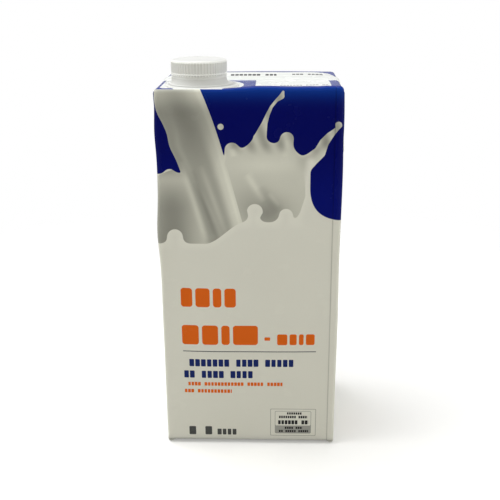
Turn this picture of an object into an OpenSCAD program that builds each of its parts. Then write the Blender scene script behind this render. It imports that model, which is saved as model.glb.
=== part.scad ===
// One-litre brick carton of folded, laminated board, with a screw cap on a glued spout.
// The origin is the centre of the base. +Z is up and the front panel faces -Y.
// All sizes are in millimetres.

/* [Carton body] */
// Width of the front panel
body_w = 85; // [70:1:102]
// Depth from the front panel to the back panel
body_d = 70; // [58:1:84]
// Height of the top panel above the surface that the carton stands on
body_h = 180; // [130:1:220]
// Radius of the four upright edges
edge_r = 1.6; // [1:0.1:4]
// Radius of the folds round the top and bottom panels
fold_r = 2; // [1:0.1:4]
// How far the front and back panels swell at mid height
wide_swell = 1.2; // [0:0.1:3]
// How far the two side panels swell at mid height
side_swell = 0.8; // [0:0.1:3]

/* [Fins and flaps] */
// Thickness of a flap, which is the board folded flat on itself
flap_t = 0.9; // [0.6:0.1:1.5]
// How far the tips of the side flaps stand away from the side panels
flap_gap = 2; // [0:0.1:5]
// Width left at the tip of a flap
flap_tip_w = 3; // [1:0.5:6]
// Width of the sealed fin across the top and the bottom
fin_w = 8.5; // [5:0.5:12]
// Thickness of the sealed fin
fin_t = 0.8; // [0.4:0.1:1.2]
// Angle in degrees that the top fin springs up from the top panel
fin_lift = 15; // [3:1:35]

/* [Spout] */
// Distance of the spout axis from the left side of the body
spout_from_side = 19.2; // [16:0.1:30]
// Radius of the neck under the cap
neck_r = 11.4; // [9:0.1:13.8]
// Width of the shoulder that the tamper ring sits on
shoulder_w = 1.1; // [0.8:0.1:1.5]
// How far the foot of the neck flares out below the shoulder
foot_flare = 0.8; // [0.2:0.1:1.2]
// Height of the foot of the neck, from the flange to the shoulder
foot_h = 3.4; // [2:0.1:6]
// Width of the flange round the foot of the neck
flange_rim = 2.5; // [1.5:0.1:4]
// How far the flange reaches on toward the middle of the top panel
flange_reach = 2.7; // [0:0.1:6]
// Thickness of the flange
flange_t = 0.8; // [0.5:0.1:1.5]
// Least distance of the flange from the edges of the top panel and from the top fin
flange_margin = 1; // [0.5:0.1:2]

/* [Cap] */
// Wall of the cap round the neck, over its ribs
cap_wall = 1.35; // [1.1:0.05:2]
// Height of the cap
cap_h = 6.4; // [5:0.1:10]
// Thickness of the top of the cap
cap_top_t = 1.4; // [0.8:0.1:2]
// Radius of the rounded rim round the top of the cap
cap_rim_r = 1.1; // [0.4:0.1:1.4]
// Number of ribs round the cap
rib_count = 60; // [30:2:80]
// Depth of the grooves between the ribs
rib_depth = 0.25; // [0.1:0.05:0.4]
// Radius of the round bottom of each groove
rib_groove_r = 0.45; // [0.3:0.05:0.5]
// Height of the plain lip under the ribs
cap_lip_h = 0.5; // [0.3:0.1:1]
// Wall of the tamper ring round the neck
ring_wall = 1.15; // [0.8:0.05:2]
// Height of the tamper ring
ring_h = 1.2; // [0.8:0.1:3]
// Gap between the tamper ring and the cap
ring_gap = 0.2; // [0.1:0.05:0.3]
// Clearance of the cap and the tamper ring round the neck
neck_clearance = 0.15; // [0.05:0.05:0.3]

/* [Hidden] */

// The carton stands on its two bottom flaps, folded flat under the bottom panel.
base_z = flap_t + fin_t / 2;
// The smallest corner radius left where the folds round off a corner.
corner_min_r = 0.3;
// Steps along each panel, round each upright edge, up the panels and round a fold.
side_steps = 8;
corner_steps = 4;
rise_steps = 14;
fold_steps = 4;
// Steps along the top fin and round the bend of a flap.
fin_steps = 22;
bend_steps = 5;
// How sharply the top fin comes down again toward its two folded ends.
fin_end_power = 8;
// The least angle of the top fin, so that its free edge stays off the panel.
fin_rest = 3;
// How deep fins and flaps are rooted in the body.
root_depth = 3;
fin_root = 0.4;
// Radius of the bend of a flap over the top edge, and under the bottom edge.
bend_r = flap_t + fin_t;
// Length of a flap from its fold to its tip: the side panel folds in half.
flap_drop = body_d / 2;

// The spout stands half way between the front of the body and the fin.
spout_x = spout_from_side - body_w / 2;
spout_y = -body_d / 4;
shoulder_r = neck_r + shoulder_w;
foot_r = shoulder_r + foot_flare;
flange_r = foot_r + flange_rim;
shoulder_z = body_h + flange_t + foot_h;
cap_z = shoulder_z + ring_h + ring_gap;
neck_top_z = cap_z + cap_h - cap_top_t;
bore_r = neck_r + neck_clearance;
ring_r = bore_r + ring_wall;
cap_r = bore_r + cap_wall;

// Share of the swell at a height: none at the two folds, all of it half way up.
function swell_share(z) = sin(180 * (z - base_z) / (body_h - base_z));

// One level outline of the body: rounded corners joined by gently swollen panels.
function outline(inset, z) = [
    for (side = [0:3])
        let (
            along = [cos(90 * side), sin(90 * side)],
            out = [sin(90 * side), -cos(90 * side)],
            wide = side % 2 == 0,
            r = max(edge_r - inset, corner_min_r),
            half_along = (wide ? body_w : body_d) / 2 - inset - r,
            half_out = (wide ? body_d : body_w) / 2 - inset,
            swell = (wide ? wide_swell : side_swell) * swell_share(z)
        )
        for (i = [0:side_steps + corner_steps - 1])
            i <= side_steps
                ? let (u = 2 * i / side_steps - 1)
                    panel_point(along * half_along * u + out * (half_out + swell * (1 - u * u)), z)
                : let (a = 90 * (i - side_steps) / corner_steps)
                    panel_point(along * (half_along + r * sin(a)) + out * (half_out - r + r * cos(a)), z)
];

function panel_point(xy, z) = [xy[0], xy[1], z];

// Heights and insets of the outlines, from the bottom fold to the top fold.
function levels() = concat(
    [for (k = [0:fold_steps])
        let (a = 90 * k / fold_steps)
            [fold_r * (1 - sin(a)), base_z + fold_r * (1 - cos(a))]],
    [for (k = [1:rise_steps - 1])
        [0, base_z + fold_r + (body_h - base_z - 2 * fold_r) * k / rise_steps]],
    [for (k = [0:fold_steps])
        let (a = 90 * k / fold_steps)
            [fold_r * (1 - cos(a)), body_h - fold_r * (1 - sin(a))]]
);

// The middle of an outline, where the triangles that close it meet.
function middle(ring) = [for (axis = [0:2]) sum([for (p = ring) p[axis]]) / len(ring)];

function sum(list) = list * [for (item = list) 1];

// A closed skin over a stack of outlines that all have the same number of points.
module skin(rings) {
    count = len(rings[0]);
    last = len(rings) - 1;
    points = [for (ring = rings) each ring];
    walls = [
        for (k = [0:last - 1], i = [0:count - 1])
            let (
                low = k * count + i,
                low_next = k * count + (i + 1) % count
            )
            each [[low, low + count, low_next + count], [low, low_next + count, low_next]]
    ];
    foot = [for (i = [0:count - 1]) [len(points), i, (i + 1) % count]];
    head = [for (i = [0:count - 1]) [len(points) + 1, last * count + (i + 1) % count, last * count + i]];
    polyhedron(
        points = concat(points, [middle(rings[0]), middle(rings[last])]),
        faces = concat(walls, foot, head)
    );
}

module body() {
    skin([for (level = levels()) outline(level[0], level[1])]);
}

// The sealed fin across the top: it springs up from the middle of the top panel,
// leans to the back, and lies down where it folds over the two side edges.
function fin_angle(u) = fin_rest + (fin_lift - fin_rest) * (1 - pow(abs(u), fin_end_power));

function fin_section(x, a) = [
    [x, 0, body_h - fin_root],
    [x, fin_w * cos(a), body_h + fin_w * sin(a)],
    [x, fin_w * cos(a) - fin_t * sin(a), body_h + fin_w * sin(a) + fin_t * cos(a)],
    [x, 0, body_h + fin_t]
];

module top_fin() {
    skin([for (i = [0:fin_steps])
        let (u = 2 * i / fin_steps - 1)
            fin_section(u * (body_w / 2 - root_depth), fin_angle(u))]);
}

// Side view of board that folds over the top edge and hangs down the side panel.
// Across is outward from the side panel, and up is height over the top panel.
function hung_outline(over, thick) = concat(
    [[-root_depth, -root_depth], [-root_depth, over]],
    [for (i = [0:bend_steps])
        let (a = 90 - 90 * i / bend_steps)
            [thick - bend_r + bend_r * cos(a), over - bend_r + bend_r * sin(a)]],
    [[flap_gap + thick, -flap_drop], [flap_gap, -flap_drop], [-fin_root, -root_depth]]
);

// Side view of board that folds under the bottom edge and lies flat below the panel.
function tucked_outline() = concat(
    [[-flap_drop, base_z + fin_root], [-flap_drop, 0]],
    [for (i = [0:bend_steps])
        let (a = 90 * i / bend_steps)
            [-bend_r + bend_r * sin(a), bend_r - bend_r * cos(a)]],
    [[0, base_z + fold_r], [-root_depth, base_z + fold_r + fin_root]]
);

// A side view, drawn outward and up, swept across the side from one depth to another.
module sweep_across(y_from, y_to) {
    translate([0, y_to, 0])
        rotate([90, 0, 0])
            linear_extrude(height = y_to - y_from)
                children();
}

// The triangle of a flap that hangs down, as a slab through the side of the body.
module hung_triangle() {
    translate([-root_depth, 0, 0])
        rotate([90, 0, 90])
            linear_extrude(height = 2 * root_depth + flap_gap + bend_r)
                polygon([
                    [-body_d / 2 + edge_r, root_depth],
                    [-body_d / 2 + edge_r, -edge_r],
                    [-flap_tip_w / 2, -flap_drop],
                    [flap_tip_w / 2, -flap_drop],
                    [body_d / 2 - edge_r, -edge_r],
                    [body_d / 2 - edge_r, root_depth]
                ]);
}

// One side flap, with the fin that runs down its middle to the tip.
module side_flap() {
    translate([body_w / 2, 0, body_h]) {
        intersection() {
            sweep_across(-body_d / 2, body_d / 2)
                polygon(hung_outline(0, flap_t));
            hung_triangle();
        }
        sweep_across(0, fin_w)
            polygon(hung_outline(fin_t, flap_t + fin_t));
    }
}

// One bottom flap: a triangle with its tip toward the middle of the base.
module bottom_flap() {
    translate([body_w / 2, 0, 0])
        intersection() {
            sweep_across(-body_d / 2, body_d / 2)
                polygon(tucked_outline());
            linear_extrude(height = base_z + fold_r + root_depth)
                polygon([
                    [-flap_drop, -flap_tip_w / 2],
                    [-edge_r, -body_d / 2 + edge_r],
                    [root_depth, -body_d / 2 + edge_r],
                    [root_depth, body_d / 2 - edge_r],
                    [-edge_r, body_d / 2 - edge_r],
                    [-flap_drop, flap_tip_w / 2]
                ]);
        }
}

// The sealed fin across the bottom, pressed flat under the bottom panel.
module bottom_fin() {
    translate([-body_w / 2 + root_depth, 0, base_z - fin_t])
        cube([body_w - 2 * root_depth, fin_w, fin_t + fin_root]);
}

module carton() {
    color("#c9c8bb") {
        body();
        top_fin();
        bottom_fin();
        for (turn = [0, 1])
            mirror([turn, 0, 0]) {
                side_flap();
                bottom_flap();
            }
    }
}

// The outline of the flange: two equal circles and the straight stretch between them,
// kept clear of the edges of the panel and of the fin.
module flange_outline() {
    intersection() {
        union() {
            circle(r = flange_r, $fn = 96);
            translate([flange_reach, 0])
                circle(r = flange_r, $fn = 96);
            translate([0, -flange_r])
                square([flange_reach, 2 * flange_r]);
        }
        translate([-body_w / 2 + flange_margin - spout_x, -body_d / 2 + flange_margin - spout_y])
            square([body_w - 2 * flange_margin, body_d / 2 - 2 * flange_margin]);
    }
}

// Flange, flared foot, shoulder and neck, turned round the spout axis.
module spout() {
    color("#e4e6e2")
        translate([spout_x, spout_y, 0]) {
            translate([0, 0, body_h])
                linear_extrude(height = flange_t)
                    flange_outline();
            rotate_extrude($fn = 96)
                polygon([
                    [0, body_h + flange_t / 2],
                    [foot_r, body_h + flange_t / 2],
                    [foot_r, body_h + flange_t],
                    [shoulder_r, shoulder_z - foot_h / 3],
                    [shoulder_r, shoulder_z],
                    [neck_r, shoulder_z],
                    [neck_r, neck_top_z],
                    [0, neck_top_z]
                ]);
        }
}

// The ring that stays behind on the shoulder when the cap is first turned.
module tamper_ring() {
    color("#dfe0da")
        translate([spout_x, spout_y, shoulder_z])
            difference() {
                cylinder(r = ring_r, h = ring_h, $fn = 96);
                translate([0, 0, -ring_h])
                    cylinder(r = bore_r, h = 3 * ring_h, $fn = 96);
            }
}

// Half of the cap's cut face, with the rounded rim as an arc.
module cap_section() {
    difference() {
        union() {
            square([cap_r - cap_rim_r, cap_h]);
            square([cap_r, cap_h - cap_rim_r]);
            translate([cap_r - cap_rim_r, cap_h - cap_rim_r])
                intersection() {
                    circle(r = cap_rim_r, $fn = 48);
                    square(cap_rim_r);
                }
        }
        translate([-cap_r, -cap_h])
            square([cap_r + bore_r, 2 * cap_h - cap_top_t]);
    }
}

// The grooves between the ribs, from above the lip to the top of the cap.
module rib_grooves() {
    for (i = [0:rib_count - 1])
        rotate(360 * i / rib_count)
            translate([cap_r - rib_depth + rib_groove_r, 0, cap_lip_h])
                cylinder(r = rib_groove_r, h = cap_h, $fn = 24);
}

module screw_cap() {
    color("#eceeea")
        translate([spout_x, spout_y, cap_z])
            difference() {
                rotate_extrude($fn = 96)
                    cap_section();
                rib_grooves();
            }
}

carton();
spout();
tamper_ring();
screw_cap();
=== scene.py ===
"""Looks of a one-litre milk carton: printed folded board, with a ribbed screw cap on a glued spout.

The CAD frame gives every size and place. Shapes are worked out in millimetres and made in metres.
The front panel faces -Y, and a "blank" coordinate runs once round the four panels from the middle
of the front, as it does on the flat board before it is folded.
"""

import math

import bpy
import numpy as np
from mathutils import Matrix, Vector


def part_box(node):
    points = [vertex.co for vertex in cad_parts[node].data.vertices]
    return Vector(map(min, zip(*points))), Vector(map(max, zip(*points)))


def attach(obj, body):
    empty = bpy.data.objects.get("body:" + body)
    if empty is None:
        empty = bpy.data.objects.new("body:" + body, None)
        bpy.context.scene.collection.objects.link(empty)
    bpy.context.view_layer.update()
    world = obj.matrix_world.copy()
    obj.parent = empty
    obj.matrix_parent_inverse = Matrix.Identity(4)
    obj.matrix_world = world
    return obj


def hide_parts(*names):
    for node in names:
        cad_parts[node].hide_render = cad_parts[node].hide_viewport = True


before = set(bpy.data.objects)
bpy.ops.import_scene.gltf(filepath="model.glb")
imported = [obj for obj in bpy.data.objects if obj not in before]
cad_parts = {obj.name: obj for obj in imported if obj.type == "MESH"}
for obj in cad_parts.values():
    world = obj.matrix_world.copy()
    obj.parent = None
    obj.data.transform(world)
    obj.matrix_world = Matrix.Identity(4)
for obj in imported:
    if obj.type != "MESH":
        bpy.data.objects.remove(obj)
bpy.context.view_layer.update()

bl_info = {
    "name": "Milk carton",
    "version": (1, 0, 0),
    "blender": (4, 5, 0),
    "location": "3D View > Sidebar > Carton",
    "description": "Builds a printed brick carton with a screw cap on a glued spout",
    "category": "Object",
}

MM = 0.001


def node_box(name):
    """Lowest and highest corner of a CAD node, in millimetres."""
    low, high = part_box(name)
    return Vector(low) / MM, Vector(high) / MM


BOARD_LOW, BOARD_HIGH = node_box("carton")
SPOUT_LOW, SPOUT_HIGH = node_box("spout")
RING_LOW, RING_HIGH = node_box("tamper_ring")
CAP_LOW, CAP_HIGH = node_box("screw_cap")
# The spout axis is the middle of the cap, and the flange lies on the top panel.
AXIS = (CAP_LOW + CAP_HIGH) / 2
TOP_Z = SPOUT_LOW.z
# How far the side flaps and the swell of the wide panels stand out of the flat panels.
FLAP_STAND = 3.7
WIDE_SWELL = 1.2
WIDTH = BOARD_HIGH.x - BOARD_LOW.x - 2 * FLAP_STAND
DEPTH = BOARD_HIGH.y - BOARD_LOW.y - 2 * WIDE_SWELL
# The length of the blank once round the four panels.
ROUND = WIDTH * 2 + DEPTH * 2


# ---------------------------------------------------------------- settings

def amount(name, description, value, **choices):
    """A plain number setting."""
    return bpy.props.FloatProperty(name=name, description=description, default=value, **choices)


def length(name, description, value):
    """A length setting, given in millimetres."""
    return amount(name, description, value * MM, min=0.0, unit="LENGTH", precision=5)


def angle(name, description, degrees):
    """An angle setting, given in degrees."""
    return amount(name, description, math.radians(degrees), subtype="ANGLE")


def power(name, description, watts):
    """The power of a light."""
    return amount(name, description, watts, unit="POWER")


def colour(name, description, value):
    """A colour setting, in linear light."""
    return bpy.props.FloatVectorProperty(
        name=name, description=description, default=value, min=0.0, max=1.0, size=3, subtype="COLOR"
    )


class BoardSettings(bpy.types.PropertyGroup):
    edge_r: length("Edge radius", "Radius of the four upright edges", 1.6)
    fold_r: length("Fold radius", "Radius of the folds round the top and the bottom", 2.0)
    wide_swell: length("Wide swell", "Swell of the front and back panels half way up", WIDE_SWELL)
    side_swell: length("Side swell", "Swell of the side panels half way up", 0.8)
    base_gap: length("Base gap", "Height of the bottom panel over the surface", 1.3)
    seam_in: length("Seam inset", "Distance of the long seam from the right edge", 3.3)
    seam_step: length("Seam step", "Height of the overlap at the long seam", 0.14)


class FoldSettings(bpy.types.PropertyGroup):
    flap_t: length("Flap thickness", "Thickness of a folded flap", 0.9)
    flap_gap: length("Flap gap", "How far the tip of a side flap stands off", 2.0)
    tip_w: length("Tip width", "Width left at the tip of a flap", 3.0)
    fin_w: length("Fin width", "Width of the sealed fin", 8.5)
    fin_t: length("Fin thickness", "Thickness of the sealed fin", 0.8)
    fin_lift: angle("Fin lift", "Angle that the fin springs up from the top panel", 15)


class PrintSettings(bpy.types.PropertyGroup):
    blue: colour("Blue", "Blue field in the middle of its height", (0.0005, 0.0022, 0.122))
    # High blue is a painted highlight: the blue is painted paler at the top edge, where the front rounds
    # over into the light from above.
    blue_highlight: colour("High blue", "Blue field at the top edge", (0.004, 0.050, 0.370))
    blue_low: colour("Low blue", "Blue field in its lowest part", (0.0006, 0.0042, 0.165))
    blue_top: colour("Top blue", "Blue of the top panel and of the flaps", (0.014, 0.034, 0.265))
    milk: colour("Milk", "Plain milk-coloured field", (0.775, 0.770, 0.712))
    white: colour("White", "White fields of the top panel", (0.800, 0.820, 0.800))
    orange: colour("Orange", "Orange bars", (0.760, 0.135, 0.010))
    navy: colour("Navy", "Navy rows", (0.012, 0.026, 0.150))
    grey: colour("Grey", "Dark grey marks", (0.085, 0.088, 0.090))


class SpoutSettings(bpy.types.PropertyGroup):
    flange_t: length("Flange thickness", "Thickness of the flange", 0.8)
    flange_reach: length("Flange reach", "Straight stretch of the flange", 2.7)
    foot_r: length("Foot radius", "Radius of the neck where it meets the flange", 13.35)
    shoulder_r: length("Shoulder radius", "Radius of the shoulder under the ring", 12.75)
    neck_r: length("Neck radius", "Radius of the neck inside the cap", 11.4)
    weld_r: length("Weld radius", "Radius of the pressed line round the flange", 14.4)


class CapSettings(bpy.types.PropertyGroup):
    rib_count: bpy.props.IntProperty(
        name="Ribs", description="Number of ribs round the cap", default=60, min=12, max=120
    )
    bridge_count: bpy.props.IntProperty(
        name="Bridges", description="Number of bridges to the tamper ring", default=60, min=6, max=90
    )
    rib_depth: length("Rib depth", "How far the ribs stand out", 0.30)
    rib_w: length("Rib width", "Width of one rib", 0.80)
    lip_h: length("Lip height", "Height of the plain lip under the ribs", 0.55)
    rim_r: length("Rim radius", "Radius of the rounded rim", 1.0)
    bore_r: length("Bore radius", "Radius of the hollow inside", 11.55)
    dish: length("Dish", "Depth of the shallow dish in the top", 0.18)
    plastic: colour("Plastic", "White moulded plastic", (0.785, 0.790, 0.772))


class StageSettings(bpy.types.PropertyGroup):
    lens: amount("Lens", "Focal length in millimetres", 59.03, min=10)
    camera_place: bpy.props.FloatVectorProperty(
        name="Camera place",
        description="Where the camera stands",
        default=(0.0122, -0.4021, 0.2305),
        size=3,
        subtype="TRANSLATION",
    )
    camera_pitch: angle("Camera pitch", "How far the camera looks down", 18.86)
    camera_yaw: angle("Camera yaw", "How far the camera turns to the left", 1.85)
    camera_roll: angle("Camera roll", "Tilt of the camera about its own axis", -0.33)
    top_light: power("Top light", "Power of the overhead softbox", 11.0)
    front_light: power("Front light", "Power of the front fill", 1.1)
    left_light: power("Left light", "Power of the softbox on the left", 6.2)
    right_light: power("Right light", "Power of the softbox on the right", 7.6)
    ambient: amount("Ambient", "Strength of the light from all round", 0.28, min=0)


def settings(name):
    """One group of settings, with its lengths still in metres."""
    return getattr(bpy.context.scene, name)


def mm(group, *names):
    """Length settings in millimetres."""
    return [getattr(group, name) / MM for name in names]


# ---------------------------------------------------------------- meshes

def loft(rings):
    """Points and faces of a closed skin over rings that have the same number of points."""
    rings = np.asarray(rings, float)
    rows, count, _ = rings.shape
    points = np.vstack([rings.reshape(-1, 3), rings[0].mean(0), rings[-1].mean(0)])
    foot = np.arange(rows - 1)[:, None] * count
    column = np.arange(count)
    beside = (column + 1) % count
    sides = np.stack([foot + column, foot + beside, foot + beside + count, foot + column + count], -1)
    faces = [tuple(face) for face in sides.reshape(-1, 4).tolist()]
    first, last, top = rows * count, rows * count + 1, (rows - 1) * count
    for i, j in zip(column.tolist(), beside.tolist()):
        faces.append((first, j, i))
        faces.append((last, top + i, top + j))
    return points, faces


def swept(section, stations):
    """Points and faces of a section carried along stations of (origin, across, outward)."""
    rings = [
        [origin + across * a + outward * t for a, t in section]
        for origin, across, outward in stations
    ]
    return loft(rings)


def new_object(name, data):
    """An object of the scene that holds a mesh, a light or a camera."""
    made = bpy.data.objects.new(name, data)
    bpy.context.scene.collection.objects.link(made)
    return made


def make_piece(name, points, faces, materials, slots=None):
    """A mesh object from millimetre points, with its faces turned outward."""
    mesh = bpy.data.meshes.new(name)
    mesh.from_pydata((np.asarray(points, float) * MM).tolist(), [], faces)
    for material in materials:
        mesh.materials.append(material)
    if slots is not None:
        mesh.polygons.foreach_set("material_index", slots)
    if signed_volume(mesh) < 0:
        mesh.flip_normals()
    mesh.polygons.foreach_set("use_smooth", [True] * len(mesh.polygons))
    mesh.update()
    return new_object(name, mesh)


def read(items, name, kind, size=1):
    """One value, or a row of a few, for each item of a mesh."""
    values = np.empty(len(items) * size, kind)
    items.foreach_get(name, values)
    return values.reshape(-1, size) if size > 1 else values


def signed_volume(mesh):
    """Six times the volume of a closed mesh. It is below zero where the faces point inward."""
    mesh.calc_loop_triangles()
    triangles = read(mesh.loop_triangles, "vertices", np.int32, 3)
    first, second, third = read(mesh.vertices, "co", float, 3)[triangles].transpose(1, 0, 2)
    return float((first * np.cross(second, third)).sum())


def store(piece, name, values):
    """Keeps one number for each point of a piece, for its material to read."""
    layer = piece.data.attributes.new(name, "FLOAT", "POINT")
    layer.data.foreach_set("value", np.asarray(values, np.float32))


def arc(centre, radius, start, end, steps):
    """Points of a circular arc, from one angle in degrees to another."""
    return [
        (
            centre[0] + radius * math.cos(math.radians(start + (end - start) * k / steps)),
            centre[1] + radius * math.sin(math.radians(start + (end - start) * k / steps)),
        )
        for k in range(steps + 1)
    ]


def smoothstep(low, high, value):
    """0 at low, 1 at high, smooth between them."""
    share = np.clip((value - low) / (high - low), 0, 1)
    return share * share * (3 - 2 * share)


def bell(offset, spread):
    """A smooth bump: 1 at no offset, falling to nothing past twice the spread."""
    return np.exp(-((offset / spread) ** 2))


# ---------------------------------------------------------------- board

# Steps along the front, right, back and left panels, and round each upright edge.
PANEL_STEPS = (170, 54, 66, 54)
EDGE_STEPS = 6
FOLD_STEPS = 6
# Outlines are closer together above this height, where the splash is.
SPLASH_FOOT = 106
# The roll of the top panel starts this far under its fold.
ROLL_DROP = 6
# The middle of each panel, and the upright edges, in the blank coordinate.
PANEL_MIDDLES = tuple((WIDTH + DEPTH) / 2 * k for k in range(4))
CORNERS = np.array([WIDTH / 2, WIDTH / 2 + DEPTH, WIDTH * 1.5 + DEPTH, -WIDTH / 2])
# Materials of the board: the four panels come first.
TOP_SLOT, BASE_SLOT = 4, 5


def blank_outline(inset, z, board):
    """Level outline of the body: points, the blank coordinate and the panel of each column."""
    edge_r, base, wide, side = mm(board, "edge_r", "base_gap", "wide_swell", "side_swell")
    share = max(0.0, math.sin(math.pi * (z - base) / (TOP_Z - base)))
    radius = max(edge_r - inset, 0.3)
    points, blank, panel = [], [], []
    for k, steps in enumerate(PANEL_STEPS):
        turn = math.pi / 2 * k
        along = np.array([math.cos(turn), math.sin(turn)])
        out = np.array([math.sin(turn), -math.cos(turn)])
        size, thick, swell = (WIDTH, DEPTH, wide) if k % 2 == 0 else (DEPTH, WIDTH, side)
        half_along = size / 2 - inset - radius
        half_out = thick / 2 - inset
        corner_gap = ROUND / 4 - half_along - (half_out - radius)
        for i in range(steps + 1):
            u = 2 * i / steps - 1
            points.append(along * half_along * u + out * (half_out + swell * share * (1 - u * u)))
            blank.append(PANEL_MIDDLES[k] + half_along * u)
            panel.append(k)
        for i in range(1, EDGE_STEPS):
            a = math.pi / 2 * i / EDGE_STEPS
            round_out = half_out - radius + radius * math.cos(a)
            points.append(along * (half_along + radius * math.sin(a)) + out * round_out)
            blank.append(PANEL_MIDDLES[k] + half_along + corner_gap * i / EDGE_STEPS)
            panel.append(k if i < EDGE_STEPS / 2 else (k + 1) % 4)
    return np.array(points), np.array(blank), np.array(panel)


def board_levels(board):
    """Insets and heights of the outlines, from the middle of the base to that of the top."""
    fold, base = mm(board, "fold_r", "base_gap")
    turns = np.linspace(0, math.pi / 2, FOLD_STEPS + 1)
    bend = [(fold * (1 - math.sin(a)), fold * (1 - math.cos(a))) for a in turns]
    low_middle = [(inset, base) for inset in (33, 26, 18, 11, 6, 3.5)]
    low_fold = [(inset, base + rise) for inset, rise in bend]
    plain = [(0, z) for z in np.linspace(base + fold, SPLASH_FOOT, 52)[1:]]
    printed = [(0, z) for z in np.linspace(SPLASH_FOOT, TOP_Z - fold, 124)[1:-1]]
    high_fold = [(inset, TOP_Z - rise) for inset, rise in reversed(bend)]
    high_middle = [(inset, TOP_Z) for inset in (2.6, 3.5, 5, 7, 9.5, 12.5, 16, 20, 25, 30, 33)]
    return low_middle + low_fold + plain + printed + high_fold + high_middle


# Dents and bulges of a filled pack: place in the blank, height, spreads and height outward.
PACK_BUMPS = (
    (-42.5, 113, 5.0, 13, 1.15),
    (-42.5, 161, 4.0, 9, 0.60),
    (42.5, 140, 5.0, 26, 0.75),
    (42.5, 66, 5.0, 30, 0.45),
    (-20.0, 60, 16, 26, 0.35),
    (18.0, 138, 18, 20, 0.25),
    (12.0, 24, 20, 14, -0.30),
    (84.0, 120, 14, 24, 0.30),
    (70.0, 48, 12, 20, -0.25),
    (112.5, 96, 4.5, 14, 0.70),
    (150.0, 110, 20, 26, 0.35),
    (176.0, 44, 16, 22, -0.30),
    (197.5, 70, 4.0, 12, 0.45),
    (236.0, 92, 15, 26, 0.30),
)


def round_offset(blank, place):
    """Shortest way round the pack from a place to each blank coordinate."""
    return (blank - place + ROUND / 2) % ROUND - ROUND / 2


def pack_relief(blank, z, board):
    """How far the panels stand out of their even form, in millimetres."""
    relief = np.zeros(len(blank))
    for place, height, spread, rise, out in PACK_BUMPS:
        relief += out * bell(round_offset(blank, place), spread) * bell(z - height, rise)
    relief += 0.06 * np.sin(blank / 7.3 + z / 23) * math.sin(z / 11.0 + 0.8)
    seam_in, step = mm(board, "seam_in", "seam_step")
    seam = round_offset(blank, WIDTH / 2 - seam_in)
    relief += step * smoothstep(-0.1, 0.3, seam) * (1 - smoothstep(seam_in, seam_in + 2, seam))
    relief -= 0.16 * bell(seam + 0.2, 0.35)
    return relief


def top_relief(x, y):
    """Height of the top panel over its flat form."""
    # The crease over the front stands up in a soft roll, which is lower where the spout is glued.
    free = smoothstep(-12, 4, x)
    crease = y + DEPTH / 2
    relief = (1.0 + 0.75 * free + 0.12 * np.sin(x / 4.5) * free) * bell(crease, 2.6 + 3.2 * free)
    relief -= 0.25 * bell(x - 31, 2.4) * bell(crease, 3)
    # A dent behind the spout, and two low swells.
    relief -= 0.30 * bell(x + 30, 9) * bell(y - 26, 7)
    relief += 0.30 * bell(x - 35, 9) * bell(y + 18, 10)
    relief += 0.45 * smoothstep(14, 29, y) * bell(x - 8, 34)
    return relief


def build_board(board, materials):
    """The folded body as one closed skin, with its print fields kept at each point."""
    fold, edge_r = mm(board, "fold_r", "edge_r")
    levels = board_levels(board)
    rings, blanks, heights, folds = [], [], [], []
    for inset, z in levels:
        points, blank, panel = blank_outline(inset, z, board)
        relief = pack_relief(blank, z, board) * (1 - smoothstep(0.0, fold, inset))
        points = points + panel_turn(points) * relief[:, None]
        level = np.full(len(blank), float(z))
        roll_foot = TOP_Z - fold - ROLL_DROP
        if z > roll_foot:
            level = level + top_relief(points[:, 0], points[:, 1]) * smoothstep(roll_foot, TOP_Z, level)
        corner = np.abs(round_offset(blank[:, None], CORNERS[None, :])).min(1)
        crease = bell(inset - fold * 0.35, 0.7) if inset > 0 else 0
        rings.append(np.column_stack([points, level]))
        blanks.append(blank)
        heights.append(level)
        folds.append(np.maximum(bell(corner, edge_r), crease) * (inset < 3))
    slots = []
    for inset, z in levels[:-1]:
        on_base = z < TOP_Z / 2 and inset > fold * 0.4
        on_top = z > TOP_Z / 2 and inset >= fold * 0.25
        own = BASE_SLOT if on_base else TOP_SLOT
        slots.extend([own] * len(panel) if on_base or on_top else panel.tolist())
    slots.extend([BASE_SLOT, TOP_SLOT] * len(panel))
    points, faces = loft(rings)
    piece = make_piece("carton_board", points, faces, materials, slots)
    blank = np.concatenate([*blanks, [0, 0]])
    height = np.concatenate([*heights, [0, TOP_Z]])
    for name, values in print_fields(blank, height).items():
        store(piece, name, values)
    store(piece, "fold", np.concatenate([*folds, [0, 0]]))
    bake_layout(piece, blank, height, points)
    return piece


def panel_turn(points):
    """Unit vectors that point level and outward from an outline."""
    core = np.array([WIDTH, DEPTH]) / 2 - 3.0
    beyond = points - np.clip(points, -core, core)
    size = np.maximum(np.linalg.norm(beyond, axis=1), 1e-6)
    return beyond / size[:, None]


def bake_layout(piece, blank, height, points):
    """Lays the panels flat, side by side, with the base and the top panel in the space above."""
    mesh = piece.data
    loops = read(mesh.loops, "vertex_index", np.int32)
    sizes = read(mesh.polygons, "loop_total", np.int32)
    owner = np.repeat(np.arange(len(sizes)), sizes)
    slot = read(mesh.polygons, "material_index", np.int32)[owner]
    across = (blank[loops] + WIDTH / 2 + 2) % ROUND
    up = height[loops]
    highest = np.zeros(len(sizes))
    np.maximum.at(highest, owner, across)
    wraps = (highest[owner] > ROUND - 20) & (across < 20)
    across = np.where(wraps, across + ROUND, across)
    own = points[loops]
    for index, shift in ((TOP_SLOT, 48.0), (BASE_SLOT, 150.0)):
        chosen = slot == index
        across[chosen] = own[chosen, 0] + shift
        up[chosen] = own[chosen, 1] + TOP_Z + DEPTH / 2 + 10
    layout = (np.column_stack([across, up]) / (ROUND + 4.0)).astype(np.float32)
    mesh.uv_layers.new(name="OFBake").data.foreach_set("uv", layout.ravel())


# ---------------------------------------------------------------- print fields

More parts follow.
